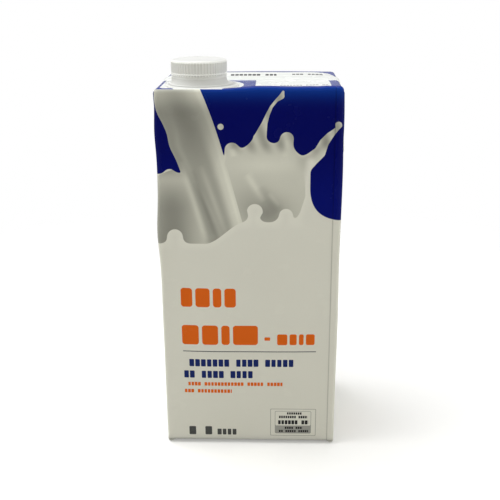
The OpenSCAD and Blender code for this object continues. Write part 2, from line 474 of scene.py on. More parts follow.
def chain(s, z, *links):
    """Distance inside a run of round links of (blank, height, radius), joined by straight tapers."""
    best = np.full(s.shape, -1e3)
    for (s0, z0, r0), (s1, z1, r1) in zip(links[:-1], links[1:]):
        run = np.array([s1 - s0, z1 - z0])
        share = np.clip(((s - s0) * run[0] + (z - z0) * run[1]) / (run @ run), 0, 1)
        away = np.hypot(s - s0 - run[0] * share, z - z0 - run[1] * share)
        best = np.maximum(best, r0 + (r1 - r0) * share - away)
    return best


def blend(first, second, size):
    """Union of two distances with a round fillet of about that size where they meet."""
    share = np.clip(size - np.abs(first - second), 0, None) / size
    return np.maximum(first, second) + share * share * size / 4


def stroke(s, z, start, end, spread):
    """A soft brush line from one point of (blank, height) to another, thin at both ends."""
    run = np.array(end) - np.array(start)
    size = np.linalg.norm(run)
    along = ((s - start[0]) * run[0] + (z - start[1]) * run[1]) / size ** 2
    away = ((s - start[0]) * run[1] - (z - start[1]) * run[0]) / size
    return bell(away, spread) * np.sqrt(np.clip(4 * along * (1 - along), 0, 1))


def pour_edges(z):
    """Left and right edges of the poured stream at each height."""
    left = -31.5 - (z - 143.4) * 0.318 - 0.9 * bell(z - 154.5, 4.5) - 1.5 * smoothstep(160, 174, z)
    right = -11.7 - (z - 151.5) * 0.265 - 0.0026 * np.clip(z - 151.5, 0, None) ** 2
    return left, right


# Round links of the splash: (blank, height, radius).
LEFT_FINGER = ((-7.6, 146, 3.7), (-7.6, 153.2, 3.3))
RIGHT_FINGER = ((16.0, 150, 3.8), (17.3, 158.2, 3.1))
LEFT_SPIKE = (
    (4.6, 153, 4.9), (5.1, 158.2, 3.1), (6.3, 162.3, 2.0), (7.3, 165.5, 1.25), (8.7, 169.3, 0.85),
    (10.3, 172.7, 0.65), (12.6, 175.5, 0.65), (14.9, 177.3, 1.2), (15.5, 179.3, 0.5),
)
RIGHT_SPIKE = (
    (28.0, 148.4, 3.2), (32.2, 152.0, 2.7), (34.1, 156.4, 2.1), (36.6, 159.6, 1.6), (38.7, 161.7, 1.05),
    (39.8, 162.9, 0.8), (40.4, 164.4, 1.6),
)
BUMP = ((-36.7, 139, 3.0), (-36.5, 142, 2.1))
SIDE_FINGER = ((-55.0, 139, 3.6), (-56.5, 147, 2.4), (-57.5, 151, 2.7))
DROPS = (
    (-12.6, 163.7, 1.4), (57.0, 133.0, 1.9), (65.5, 139.5, 1.2), (-50.0, 158.0, 1.5), (-64.0, 161.5, 1.1),
)
NEAR_MILK = (
    ((2.3, 117, 2.6), (2.2, 121.5, 2.6), (2.7, 124.2, 3.7)),
    ((16.6, 118, 3.4), (17.2, 122.4, 3.2)),
    ((-35.0, 105, 3.5), (-35.0, 111.6, 3.7)),
    ((28.6, 147, 2.0), (28.4, 141, 2.6), (29.6, 132, 3.6), (31.0, 121, 8.5)),
    ((-61.5, 140, 1.6), (-62.0, 130, 3.2), (-63.5, 116, 8.0), (-64, 108, 12)),
)
# Brush lines of the shading: both ends as (blank, height), spread, and how much paler.
STREAKS = (
    ((-31, 148), (-20, 110), 1.5, 24),
    ((-22, 146), (-10.5, 112), 1.4, 18),
    ((-26, 144), (-15, 110), 1.2, -16),
    ((-1, 142), (7, 129), 1.6, 18),
    ((5, 136), (14, 124), 2.6, -14),
    ((9, 133), (14, 127), 1.1, 14),
    ((-6.5, 150), (-7.2, 154), 1.6, 14),
    ((16.4, 150), (17.4, 158), 1.6, 12),
    ((28, 149), (36, 158), 1.3, -14),
)


def milk_outline(s, z):
    """Distance inside all of the milk on one wide panel and half of each side panel."""
    field = 119.9 + 1.6 * np.sin((s - 42) / 11.0) * smoothstep(42, 60, s) - z
    bowl = np.minimum(24 - np.hypot(s - 8, z - 132.5), 28.2 - s)
    low_bowl = np.minimum(np.minimum(141.8 + 0.06 * (s + 42) - z, s + 61), 6 - s)
    milk = blend(np.maximum(bowl, low_bowl), field, 16)
    fingers = np.maximum(chain(s, z, *LEFT_FINGER), chain(s, z, *RIGHT_FINGER))
    milk = blend(milk, fingers, 3.0)
    for links in (LEFT_SPIKE, RIGHT_SPIKE, BUMP, SIDE_FINGER):
        milk = blend(milk, chain(s, z, *links), 3.0)
    left, right = pour_edges(z)
    milk = np.maximum(milk, np.minimum(s - left, right - s) * 0.955)
    for place, height, radius in DROPS:
        milk = np.maximum(milk, radius - np.hypot(s - place, z - height))
    return milk


def near_outline(s, z):
    """Distance inside the near milk: the field, its lip and the rim that comes up beside it.

    It grows slowly high up, where the rim has a soft edge.
    """
    lip = 108.3 + 10.8 * smoothstep(-21, -1.5, s) + 17 * smoothstep(-50, -66, s)
    near = lip + 6 * smoothstep(28, 42, s) - z
    for links in NEAR_MILK:
        near = blend(near, chain(s, z, *links), 4.0)
    return near / (1 + 14 * smoothstep(134, 145, z))


def light_of(level):
    """Reflectance of a grey that shows at a level of 0 to 255 in the front light."""
    share = np.clip(level / 255, 0, 1)
    linear = np.where(share < 0.04045, share / 12.92, ((share + 0.055) / 1.055) ** 2.4)
    return linear / 0.62


def milk_shading(s, z):
    """Grey shading of the bowl's wall and of the pour, and the distance inside the pour's right edge.

    The numbers are levels of grey from 0 to 255. Below the rim of the bowl, the left side of the
    pour fades into the wall.
    """
    left, right = pour_edges(z)
    share = (s - left) / (right - left)
    fall = smoothstep(172, 138, z)
    high = 125 - 16 * bell(share - 0.47, 0.24) + 14 * smoothstep(0.6, 1.0, share)
    high = high + 48 * smoothstep(169, 182, z)
    low = 131 + 14 * share + 36 * smoothstep(0.62, 0.84, share)
    pour = high + (low - high) * fall
    pour += 9 * bell(share - 0.30 - 0.12 * np.sin(z / 14), 0.06) * smoothstep(176, 150, z)
    pour += 10 * np.exp(-((1.6 - (right - s)) ** 2) / 1.2) * smoothstep(100, 130, z)
    wall = 172 - 16 * bell(s + 1, 9) * bell(z - 129, 9) - 42 * bell(s - 9, 10) * bell(z - 123, 7.5)
    wall += 10 * bell(z - 146, 4) * bell(s - 8, 16)
    wall -= 52 * bell(s + 36, 11) * smoothstep(146, 124, z)
    wall -= 12 * bell(s - 25, 3.5) * bell(z - 148, 4)
    finger = smoothstep(150, 156, z)
    wall = wall * (1 - finger) + (150 + 16 * np.sin(s * 0.9 + z * 0.35)) * finger
    for start, end, spread, strength in STREAKS:
        change = strength * stroke(s, z, start, end, spread)
        pour += change
        wall += change
    merged = smoothstep(4.0, -1.0, s - left) * smoothstep(146, 138, z)
    pour = pour * (1 - merged) + wall * merged
    return light_of(wall), light_of(pour), right - s


def print_fields(blank, z):
    """The fields that the wide and side prints read. Both wide panels carry the same ones."""
    half = ROUND / 2
    s = (blank + half / 2 + half) % half - half / 2
    wall, pour, in_pour = milk_shading(s, z)
    left = pour_edges(np.maximum(z, 138))[0]
    in_pour = np.minimum(in_pour, s - left + 12 * smoothstep(146, 140, z))
    return {
        "milk": milk_outline(s, z),
        "near": near_outline(s, z),
        "wall_tone": wall,
        "pour_tone": pour,
        "pour": in_pour,
    }


# ---------------------------------------------------------------- shader helpers

class Graph:
    """Adds nodes to a tree. A value is a number, a colour or the output of another node."""

    def __init__(self, tree):
        self.tree = tree

    def add(self, kind, inputs=None, **choices):
        node = self.tree.nodes.new(kind)
        for key, value in choices.items():
            setattr(node, key, value)
        for key, value in (inputs or {}).items():
            self.feed(node.inputs[key], value)
        return node

    def feed(self, socket, value):
        if isinstance(value, bpy.types.NodeSocket):
            self.tree.links.new(value, socket)
        else:
            socket.default_value = value

    def math(self, operation, first, second=0.0, third=0.0):
        node = self.add("ShaderNodeMath", {0: first, 1: second, 2: third}, operation=operation)
        return node.outputs[0]

    def minus(self, first, second):
        return self.math("SUBTRACT", first, second)

    def times(self, first, second):
        return self.math("MULTIPLY", first, second)

    def fit(self, value, scale, shift):
        """The value times a scale, plus a shift."""
        return self.math("MULTIPLY_ADD", value, scale, shift)

    def step(self, value, low, high):
        """0 below low, 1 above high, smooth between them."""
        inputs = {"Value": value, "From Min": low, "From Max": high}
        node = self.add("ShaderNodeMapRange", inputs, interpolation_type="SMOOTHSTEP")
        return node.outputs["Result"]

    def mix(self, share, first, second):
        node = self.add("ShaderNodeMix", {0: share, 6: first, 7: second}, data_type="RGBA")
        return node.outputs[2]

    def scaled(self, tint, amount):
        node = self.add("ShaderNodeVectorMath", {0: tint, 3: amount}, operation="SCALE")
        return node.outputs[0]

    def size(self, vector):
        node = self.add("ShaderNodeVectorMath", {0: vector}, operation="LENGTH")
        return node.outputs["Value"]

    def split(self, vector):
        return self.add("ShaderNodeSeparateXYZ", {0: vector}).outputs

    def noise(self, vector, scale, detail=2.0):
        inputs = {"Vector": vector, "Scale": scale, "Detail": detail}
        return self.add("ShaderNodeTexNoise", inputs).outputs["Fac"]

    def field(self, name):
        return self.add("ShaderNodeAttribute", attribute_name=name).outputs["Fac"]

    def group(self, tree, **inputs):
        """A placed shader group. Its sockets are there once its tree is set."""
        return self.add("ShaderNodeGroup", inputs, node_tree=tree).outputs

    def in_corner(self, aside, above, radius):
        """1 inside a rounded corner, for a place so far aside and above of the corner's own centre."""
        past = {"X": self.math("MAXIMUM", aside, 0.0), "Y": self.math("MAXIMUM", above, 0.0)}
        reach = self.size(self.add("ShaderNodeCombineXYZ", past).outputs[0])
        return self.math("LESS_THAN", reach, radius)


def new_group(name, inputs, outputs):
    """A shader group with named sockets. Gives its graph, its inputs and its end node."""
    tree = bpy.data.node_groups.new(name, "ShaderNodeTree")
    for kind, names in (("INPUT", inputs), ("OUTPUT", outputs)):
        for socket_name, socket_type in names:
            tree.interface.new_socket(socket_name, in_out=kind, socket_type=socket_type)
    graph = Graph(tree)
    start = graph.add("NodeGroupInput")
    end = graph.add("NodeGroupOutput")
    return graph, start.outputs, end.inputs


NUMBER, VECTOR = "NodeSocketFloat", "NodeSocketVector"
# Index of refraction of the film, of cut fibre and of the moulded plastic.
FILM_IOR, FIBRE_IOR, PLASTIC_IOR = 1.22, 1.3, 1.45


def block_row_group():
    """A row of rounded blocks with gaps, as a plain stand-in for a line of print."""
    names = ("Across", "Up", "Left", "Right", "Foot", "Height", "Pitch", "Seed")
    graph, given, end = new_group("Block row", [(n, NUMBER) for n in names], [("Mask", NUMBER)])
    place = graph.math("DIVIDE", graph.minus(given["Across"], given["Left"]), given["Pitch"])
    cell = graph.math("FLOOR", place)
    draws = []
    for shift in (0.5, 67.5):
        key = graph.math("ADD", graph.math("ADD", cell, given["Seed"]), shift)
        node = graph.add("ShaderNodeTexWhiteNoise", {"W": key}, noise_dimensions="1D")
        draws.append(node.outputs["Value"])
    # A block fills most of its cell, and about one cell in seven is left empty.
    half_w = graph.fit(draws[0], 0.06, 0.36)
    present = graph.math("GREATER_THAN", draws[1], 0.14)
    corner = graph.times(given["Height"], 0.10)
    aside = graph.math("ABSOLUTE", graph.minus(graph.minus(place, cell), 0.48))
    aside = graph.fit(graph.minus(aside, half_w), given["Pitch"], corner)
    rise = graph.math("DIVIDE", graph.minus(given["Up"], given["Foot"]), given["Height"])
    above = graph.minus(graph.math("ABSOLUTE", graph.minus(rise, 0.5)), 0.5)
    above = graph.fit(above, given["Height"], corner)
    after = graph.math("GREATER_THAN", given["Across"], given["Left"])
    before = graph.math("LESS_THAN", given["Across"], given["Right"])
    mask = graph.times(graph.in_corner(aside, above, corner), graph.times(after, before))
    graph.feed(end["Mask"], graph.times(mask, present))
    return graph.tree


def box_group():
    """A filled rounded box. Its edge is sharp."""
    names = ("Across", "Up", "Left", "Right", "Foot", "Head", "Corner")
    graph, given, end = new_group("Rounded box", [(n, NUMBER) for n in names], [("Mask", NUMBER)])
    past = []
    for value, low, high in (("Across", "Left", "Right"), ("Up", "Foot", "Head")):
        middle = graph.times(graph.math("ADD", given[low], given[high]), 0.5)
        half = graph.times(graph.minus(given[high], given[low]), 0.5)
        away = graph.math("ABSOLUTE", graph.minus(given[value], middle))
        past.append(graph.math("ADD", graph.minus(away, half), given["Corner"]))
    graph.feed(end["Mask"], graph.in_corner(*past, given["Corner"]))
    return graph.tree


def board_finish_group():
    """Film over paper board: its roughness, its relief, a faint unevenness of tone, and wear."""
    graph, given, end = new_group(
        "Board finish",
        [("Vector", VECTOR), ("Fold", NUMBER)],
        [("Roughness", NUMBER), ("Height", NUMBER), ("Tone", NUMBER), ("Wear", NUMBER)],
    )
    fibre = graph.noise(given["Vector"], 1500.0, 3.0)
    ripple = graph.noise(given["Vector"], 120.0, 3.0)
    cloud = graph.noise(given["Vector"], 28.0)
    broken = graph.noise(given["Vector"], 420.0, 4.0)
    graph.feed(end["Roughness"], graph.fit(given["Fold"], 0.10, graph.fit(ripple, 0.10, 0.21)))
    graph.feed(end["Height"], graph.fit(fibre, 0.18, graph.times(ripple, 0.55)))
    graph.feed(end["Tone"], graph.fit(fibre, 0.03, graph.fit(cloud, 0.05, 0.96)))
    wear = graph.step(graph.times(given["Fold"], broken), 0.60, 0.85)
    graph.feed(end["Wear"], graph.times(wear, 0.3))
    return graph.tree


def moulded_group():
    """Moulded plastic: faint flow marks and fine texture."""
    outputs = [("Roughness", NUMBER), ("Height", NUMBER), ("Tone", NUMBER)]
    graph, given, end = new_group("Moulded plastic", [("Vector", VECTOR)], outputs)
    flow = graph.noise(given["Vector"], 160.0)
    grain = graph.noise(given["Vector"], 2600.0)
    graph.feed(end["Roughness"], graph.fit(flow, 0.16, 0.30))
    graph.feed(end["Height"], graph.fit(grain, 0.4, flow))
    graph.feed(end["Tone"], graph.fit(flow, 0.04, 0.98))
    return graph.tree


def shared_group(name, make):
    """The shared shader group of that name, which is made the first time."""
    found = bpy.data.node_groups.get(name)
    return found if found else make()


def new_material(name):
    """An empty node material: its graph, Object coordinates and the Principled shader."""
    material = bpy.data.materials.new(name)
    material.use_nodes = True
    material.node_tree.nodes.clear()
    graph = Graph(material.node_tree)
    place = graph.add("ShaderNodeTexCoord").outputs["Object"]
    shader = graph.add("ShaderNodeBsdfPrincipled")
    out = graph.add("ShaderNodeOutputMaterial")
    graph.feed(out.inputs["Surface"], shader.outputs[0])
    return material, graph, place, shader


def flat_axes(graph, place, across, up):
    """Two axes of the Object coordinates in millimetres, such as "-x" and "z"."""
    split = graph.split(place)
    return [
        graph.times(split[axis[-1].upper()], -1 / MM if axis.startswith("-") else 1 / MM)
        for axis in (across, up)
    ]


def paint(value):
    """A linear colour with its alpha."""
    return (*value, 1.0)


def set_surface(graph, shader, base, roughness, ior, relief):
    """Feeds a Principled shader. Relief is (height, strength, distance) of its fine bumps."""
    graph.feed(shader.inputs["Base Color"], base)
    graph.feed(shader.inputs["Roughness"], roughness)
    shader.inputs["IOR"].default_value = ior
    inputs = dict(zip(("Height", "Strength", "Distance"), relief))
    graph.feed(shader.inputs["Normal"], graph.add("ShaderNodeBump", inputs).outputs[0])


def finish_board(graph, place, shader, base, inks, folded=True):
    """Puts film, relief, worn folds and a painted highlight along the folds over a printed colour."""
    fold = graph.field("fold") if folded else 0.0
    finish = graph.group(shared_group("Board finish", board_finish_group), Vector=place, Fold=fold)
    base = graph.mix(finish["Wear"], graph.scaled(base, finish["Tone"]), paint(inks.white))
    if folded:
        # The folds are painted a little paler: a painted highlight along the creases.
        base = graph.mix(graph.times(fold, 0.008), base, (0.5, 0.6, 0.75, 1.0))
    relief = (finish["Height"], 0.35, 0.00012)
    set_surface(graph, shader, base, finish["Roughness"], FILM_IOR, relief)


def marks_over(graph, base, axes, tree, names, marks):
    """Paints marks of one shader group over a colour. The last item of a mark is its ink."""
    for *values, ink in marks:
        sockets = dict(zip(names, values))
        mask = graph.group(tree, Across=axes[0], Up=axes[1], **sockets)["Mask"]
        base = graph.mix(mask, base, paint(ink))
    return base


def rows_over(graph, base, axes, rows):
    """Paints block rows over a colour. A row is (left, right, foot, height, pitch, seed, ink)."""
    names = ("Left", "Right", "Foot", "Height", "Pitch", "Seed")
    return marks_over(graph, base, axes, shared_group("Block row", block_row_group), names, rows)


def boxes_over(graph, base, axes, boxes):
    """Paints rounded boxes over a colour. A box is (left, right, foot, head, corner, ink)."""
    names = ("Left", "Right", "Foot", "Head", "Corner")
    return marks_over(graph, base, axes, shared_group("Rounded box", box_group), names, boxes)


def milk_and_blue(graph, place, up, inks):
    """The blue field, the shaded milk behind the lip and the plain milk field in front."""
    # Painted highlight: the blue is painted paler towards its top edge, where the panel rounds over into
    # the light from above.
    high = graph.math("POWER", graph.step(up, 164.0, TOP_Z + 3.0), 4.0)
    blue = graph.mix(high, paint(inks.blue), paint(inks.blue_highlight))
    blue = graph.mix(graph.step(up, 158.0, 126.0), blue, paint(inks.blue_low))
    soft = graph.fit(graph.noise(place, 60.0), 0.10, 0.95)
    warm = (1.0, 0.998, 0.900)
    wall, pour = [
        graph.scaled(warm, graph.times(graph.field(name), soft)) for name in ("wall_tone", "pour_tone")
    ]
    shaded = graph.mix(graph.step(graph.field("pour"), -0.12, 0.12), wall, pour)
    near = graph.step(graph.field("near"), -0.12, 0.12)
    lip = graph.step(graph.field("near"), 4.5, 0.0)
    plain = graph.scaled(inks.milk, graph.fit(lip, 0.05, 0.99))
    # The milk is a little paler along its outline, except in the near field.
    edge = graph.times(graph.step(graph.field("milk"), 1.3, 0.0), graph.minus(1.0, near))
    milk = graph.scaled(graph.mix(near, shaded, plain), graph.fit(edge, 0.10, 1.0))
    return graph.mix(graph.step(graph.field("milk"), -0.10, 0.10), blue, milk)


# The blocks that stand for the three headings: their (left, right) ends, then foot, head and corner.
HEADINGS = (
    (((-33.3, -27.7), (-26.2, -19.2), (-17.7, -13.6), (-12.1, -6.6)), 76.0, 85.8, 1.5),
    (((-33.3, -25.0), (-23.4, -15.5), (-13.9, -9.8), (-8.2, 4.0)), 56.0, 66.4, 1.5),
    (((13.4, 18.4), (19.5, 23.0), (24.1, 26.4), (27.5, 31.8)), 56.0, 61.8, 0.9),
)
# Rule, frame, band and small print of the wide panels.
RULE_INK = (0.06, 0.065, 0.085)
FRAME_INK = (0.40, 0.40, 0.37)
BAND_INK = (0.36, 0.36, 0.34)
TABLE_INK = (0.035, 0.036, 0.040)


def wide_print(name, across, seed, inks):
    """The print of a wide panel: splash, headings, rows, a rule and a small boxed table."""
    material, graph, place, shader = new_material(name)
    axes = flat_axes(graph, place, across, "z")
    base = milk_and_blue(graph, place, axes[1], inks)
    base = boxes_over(graph, base, axes, (
        *[(*ends, *rest, inks.orange) for blocks, *rest in HEADINGS for ends in blocks],
        (7.2, 10.0, 58.4, 60.2, 0.4, inks.orange),
        (-33.1, 32.6, 52.1, 52.55, 0.05, RULE_INK),
        (10.2, 33.3, 4.7, 20.2, 0.5, FRAME_INK),
        (10.5, 33.0, 5.0, 19.9, 0.4, inks.milk),
        (12.5, 30.9, 6.0, 18.9, 0.8, BAND_INK),
        (12.75, 30.65, 10.6, 18.65, 0.6, inks.milk),
    ))
    base = rows_over(graph, base, axes, (
        (-33.2, 22.2, 44.0, 4.0, 2.9, seed + 1, inks.navy),
        (-33.1, 1.7, 37.6, 4.0, 2.9, seed + 7, inks.navy),
        (-32.8, 16.2, 33.2, 2.0, 1.65, seed + 9, inks.orange),
        (-33.0, -9.2, 29.2, 2.0, 1.65, seed + 11, inks.orange),
        (-31.5, -19.0, 4.9, 4.8, 4.1, seed + 13, inks.grey),
        (-17.0, -6.8, 4.9, 3.4, 2.55, seed + 15, inks.grey),
        (18.5, 26.0, 16.9, 1.3, 1.1, seed + 17, TABLE_INK),
        (14.5, 29.0, 14.8, 1.4, 1.1, seed + 19, TABLE_INK),
        (14.0, 29.5, 11.3, 2.3, 1.7, seed + 21, TABLE_INK),
        (17.5, 26.5, 8.6, 1.3, 1.1, seed + 23, TABLE_INK),
        (14.5, 29.5, 6.7, 1.3, 1.1, seed + 25, TABLE_INK),
    ))
    # The groove at the seam is painted as a thin darker line: painted shade.
    seam = graph.math("ABSOLUTE", graph.minus(axes[0], WIDTH / 2 - 3.5))
    base = graph.scaled(base, graph.fit(graph.step(seam, 0.42, 0.10), -0.26, 1.0))
    finish_board(graph, place, shader, base, inks)
    return material


def side_print(name, across, seed, inks):
    """The print of a side panel: the same fields, a ruled table and a few rows."""
    material, graph, place, shader = new_material(name)
    axes = flat_axes(graph, place, across, "z")
    base = milk_and_blue(graph, place, axes[1], inks)
    orange, navy, grey, milk = inks.orange, inks.navy, inks.grey, inks.milk
    pitch = 6
    base = boxes_over(graph, base, axes, (
        (-26, 26, 36, 92, 1.0, navy),
        (-25.6, 25.6, 36.4, 83.5, 0.6, milk),
        (-26, -4, 14, 17.5, 1.7, orange),
        (10, 26, 8, 24, 2.0, navy),
        (11, 25, 9, 23, 1.2, milk),
        *[(-24, 24, 41.4 + pitch * k, 41.65 + pitch * k, 0.05, grey) for k in range(7)],
        (6.5, 6.75, 38, 82, 0.05, grey),
    ))
    rows = [(-23.5, 23, 86.2, 3.6, 2.5, seed, milk)]
    for k in range(7):
        rows.append((-23, 1.5 - 3.5 * (k % 3), 43.2 + pitch * k, 2.4, 1.6, seed + 3 + k, navy))
        rows.append((9.5, 20.0 - 2.5 * (k % 2), 43.2 + pitch * k, 2.4, 1.6, seed + 23 + k, navy))
    for k in range(4):
        rows.append((-26, 3 - 3 * (k % 2), 29.5 - 3.2 * k, 1.9, 1.3, seed + 43 + k, grey))
    rows.append((12.5, 23.5, 14.3, 3.4, 2.2, seed + 61, navy))
    finish_board(graph, place, shader, rows_over(graph, base, axes, rows), inks)
    return material


def top_print(inks):
    """The print of the top panel: a white disc under the spout and a white label box."""
    material, graph, place, shader = new_material("Top print")
    axes = flat_axes(graph, place, "x", "y")
    base = boxes_over(graph, paint(inks.blue_top), axes, (
        (-42.6, 2.7 + AXIS.x, AXIS.y - 2, 0.4, 1.0, inks.white),
        (AXIS.x - 19.3, AXIS.x + 20.7, AXIS.y - 20, AXIS.y + 20, 20.0, inks.white),
        (2.8, 37.7, -23.6, 0.4, 0.3, inks.white),
    ))
    base = rows_over(graph, base, axes, (
        (14.0, 36.5, -20.5, 2.4, 1.5, 5.0, (0.30, 0.30, 0.32)),
        (-41.4, -37.4, -4.5, 1.2, 1.3, 8.0, (0.10, 0.10, 0.11)),
        (-41.6, -39.2, -10.5, 1.2, 1.2, 2.0, (0.12, 0.12, 0.13)),
    ))
    base = boxes_over(graph, base, axes, ((-50, 50, -0.2, 50, 0.1, inks.blue_top),))
    finish_board(graph, place, shader, base, inks)
    return material


def plain_board(name, tint, inks, marks=()):
    """Unprinted or evenly printed board."""
    material, graph, place, shader = new_material(name)
    base = graph.scaled(tint, graph.fit(graph.noise(place, 45.0), 0.06, 0.97))
    base = boxes_over(graph, base, flat_axes(graph, place, "x", "y"), marks)
    finish_board(graph, place, shader, base, inks, folded=False)
    return material


def fin_board(inks):
    """White unprinted board of the fins, with a printed date row as plain dashes."""
    material, graph, place, shader = new_material("Fin board")
    base = graph.scaled(inks.white, graph.fit(graph.noise(place, 45.0), 0.05, 0.97))
    code = rows_over(graph, base, flat_axes(graph, place, "x", "y"), (
        (-12.0, 12.5, 3.4, 2.0, 2.1, 4.0, (0.11, 0.11, 0.115)),
        (20.0, 36.5, 4.3, 1.6, 1.9, 9.0, (0.16, 0.16, 0.165)),
    ))
    on_top = graph.math("GREATER_THAN", graph.split(place)["Z"], TOP_Z * MM)
    finish_board(graph, place, shader, graph.mix(on_top, base, code), inks, folded=False)
    return material


def cut_edge():
    """The cut edge of the board: pressed fibre between thin films."""
    material, graph, place, shader = new_material("Cut edge")
    stretched = graph.add("ShaderNodeMapping", {"Vector": place, "Scale": (0.3, 1.0, 1.0)}).outputs[0]
    fibre = graph.noise(stretched, 2200.0, 3.0)
    base = graph.mix(fibre, (0.52, 0.46, 0.36, 1), (0.78, 0.75, 0.68, 1))
    set_surface(graph, shader, base, graph.fit(fibre, 0.2, 0.65), FIBRE_IOR, (fibre, 0.5, 0.0001))
    return material


def plastic(name, tint):
    """White moulded plastic, with painted shade from a field of its pieces, or a painted highlight where
    that field is below 0.
    """
    material, graph, place, shader = new_material(name)
    look = graph.group(shared_group("Moulded plastic", moulded_group), Vector=place)
    tone = graph.times(look["Tone"], graph.fit(graph.field("groove"), -0.20, 1.0))
    relief = (look["Height"], 0.25, 0.0001)
    set_surface(graph, shader, graph.scaled(tint, tone), look["Roughness"], PLASTIC_IOR, relief)
    return material


# ---------------------------------------------------------------- fins and flaps

def hung_path(folds, steps=30):
    """Outer side of a side flap, from its fold to its tip: (outward from the panel, height)."""
    flap_t, flap_gap, fin_t = mm(folds, "flap_t", "flap_gap", "fin_t")
    bend = flap_t + fin_t
    tuck, bow = 0.55, 0.35
    path = [(-3.0, TOP_Z - 0.7), (-2.4, TOP_Z - 0.05)]
    path += arc((flap_t - bend - tuck, TOP_Z - bend), bend, 90, 0, 8)
    (out, z), (tip_out, tip_z) = path[-1], (flap_gap + flap_t, TOP_Z - DEPTH / 2)
    for share in np.arange(1, steps + 1) / steps:
        bowed = out + (tip_out - out) * share + bow * math.sin(math.pi * share)
        path.append((bowed, z + (tip_z - z) * share))
    return path


def outward_normals(path, toward):
    """Unit normals of a flat path, on the side of it that a direction points to."""
    run = np.gradient(np.array(path, float), axis=0)
    run /= np.linalg.norm(run, axis=1)[:, None]
    normals = np.column_stack([-run[:, 1], run[:, 0]])
    return normals if normals[-1] @ toward > 0 else -normals


def flap_half_width(drop, folds):
    """Half the width of a flap at a distance from its fold."""
    edge = 1.6
    tip, wide = folds.tip_w / MM / 2, DEPTH / 2 - edge
    return wide + (tip - wide) * min(1.0, max(0.0, (drop - edge) / wide))


def stadium(half, thick, steps=14, edge_steps=5):
    """Section of a folded board: (across, depth), with its outer side at depth 0."""
    r = thick / 2
    outer = [(half * (2 * i / steps - 1), 0.0) for i in range(steps + 1)]
    right = arc((half, -r), r, 90, -90, edge_steps)[1:]
    inner = [(half * (1 - 2 * i / steps), -thick) for i in range(1, steps + 1)]
    left = arc((-half, -r), r, 270, 90, edge_steps)[1:-1]
    return outer + right + inner + left


def folded_flap(name, side, path, toward, drops, folds, material):
    """One flap of board along a path of (outward from the side panel, height)."""
    rings = []
    for (out, z), (nx, nz), drop in zip(path, outward_normals(path, toward), drops):
        origin = np.array([side * (WIDTH / 2 + out), 0, z])
        outward = np.array([side * nx, 0, nz])
        section = stadium(flap_half_width(drop, folds), folds.flap_t / MM)
        rings.append([origin + np.array([0, a, 0]) + outward * depth for a, depth in section])
    return make_piece(name, *loft(rings), [material])


def side_flap(name, side, folds, material):
    """One folded flap that hangs down a side panel and stands off at its tip."""
    path = hung_path(folds)
    drops = [TOP_Z - z for _, z in path]
    return folded_flap(name, side, path, (1, 0), drops, folds, material)


def fin_section(folds):
    """Section of the sealed fin: (from root to free edge, thickness)."""
    w, t = mm(folds, "fin_w", "fin_t")
    outer = [
        (-1.5, -0.25), (0.0, -0.25), (w - 0.15, 0.0), (w, 0.08), (w, t / 2 - 0.05), (w - 0.10, t / 2),
        (w, t / 2 + 0.05), (w, t - 0.08), (w - 0.15, t),
    ]
    # Two pressed lines run along the fin.
    pressed = [
        (w * share + aside, t - depth)
        for share in (0.74, 0.36)
        for aside, depth in ((0.28, 0), (0.1, 0.07), (-0.1, 0.07), (-0.28, 0))
    ]
    root = [(0.9, t), (0.2, t - 0.06), (-0.4, t * 0.62), (-0.9, t * 0.22), (-1.5, 0.0)]
    return outer + pressed + root


def fin_ribbon(name, section, stations, cut, materials):
    """A fin from its section and stations. The faces of its cut edge have the second material."""
    slots = [1 if i in cut else 0 for i in range(len(section))] * (len(stations) - 1)
    slots += [1] * (2 * len(section))
    return make_piece(name, *swept(section, stations), materials, slots)


def seal_fin(folds, materials):
    """The sealed fin as one ribbon: up one side flap, across the top and down the other."""
    lift, rest = folds.fin_lift, math.radians(3)
    path = hung_path(folds)[2:]
    hung = []
    for (out, z), (nx, nz) in reversed(list(zip(path, outward_normals(path, (1, 0))))):
        snug = 0.5 + 0.5 * smoothstep(TOP_Z - 3, TOP_Z - 18, z)
        hung.append((WIDTH / 2 + out, z, nx, nz, rest * 0.4, snug))
    flat_end = hung[-1][0]
    top = []
    for u in np.linspace(1, -1, 57)[1:-1]:
        spring = min((1 - abs(u) ** 8) * (1 + 0.035 * math.sin(9 * u + 1)), 1.0)
        snug = 1 - 0.5 * smoothstep(0.90, 0.99, abs(u))
        top.append((flat_end * u, TOP_Z, 0, 1, rest + (lift - rest) * spring, snug))
    mirrored = [(-x, z, -nx, nz, lean, snug) for x, z, nx, nz, lean, snug in reversed(hung)]
    stations = []
    for x, z, nx, nz, lean, snug in hung + top + mirrored:
        normal, back = np.array([nx, 0, nz]), np.array([0, 1, 0])
        across = back * math.cos(lean) + normal * math.sin(lean)
        outward = normal * math.cos(lean) - back * math.sin(lean)
        stations.append((np.array([x, 0, z]), across, outward * snug))
    return fin_ribbon("top_fin", fin_section(folds), stations, range(3, 7), materials)


def bottom_flap(name, side, folds, material):
    """One triangle of board folded flat under the base."""
    flap_t, fin_t = mm(folds, "flap_t", "fin_t")
    bend = flap_t + fin_t
    path = [(-0.05, 4.2), (0.0, 3.0)] + arc((-bend, bend), bend, 0, -90, 8)
    path += [(-DEPTH / 2 * k / 16 - bend * (1 - k / 16), 0.0) for k in range(1, 17)]
    return folded_flap(name, side, path, (0, -1), [-out for out, _ in path], folds, material)


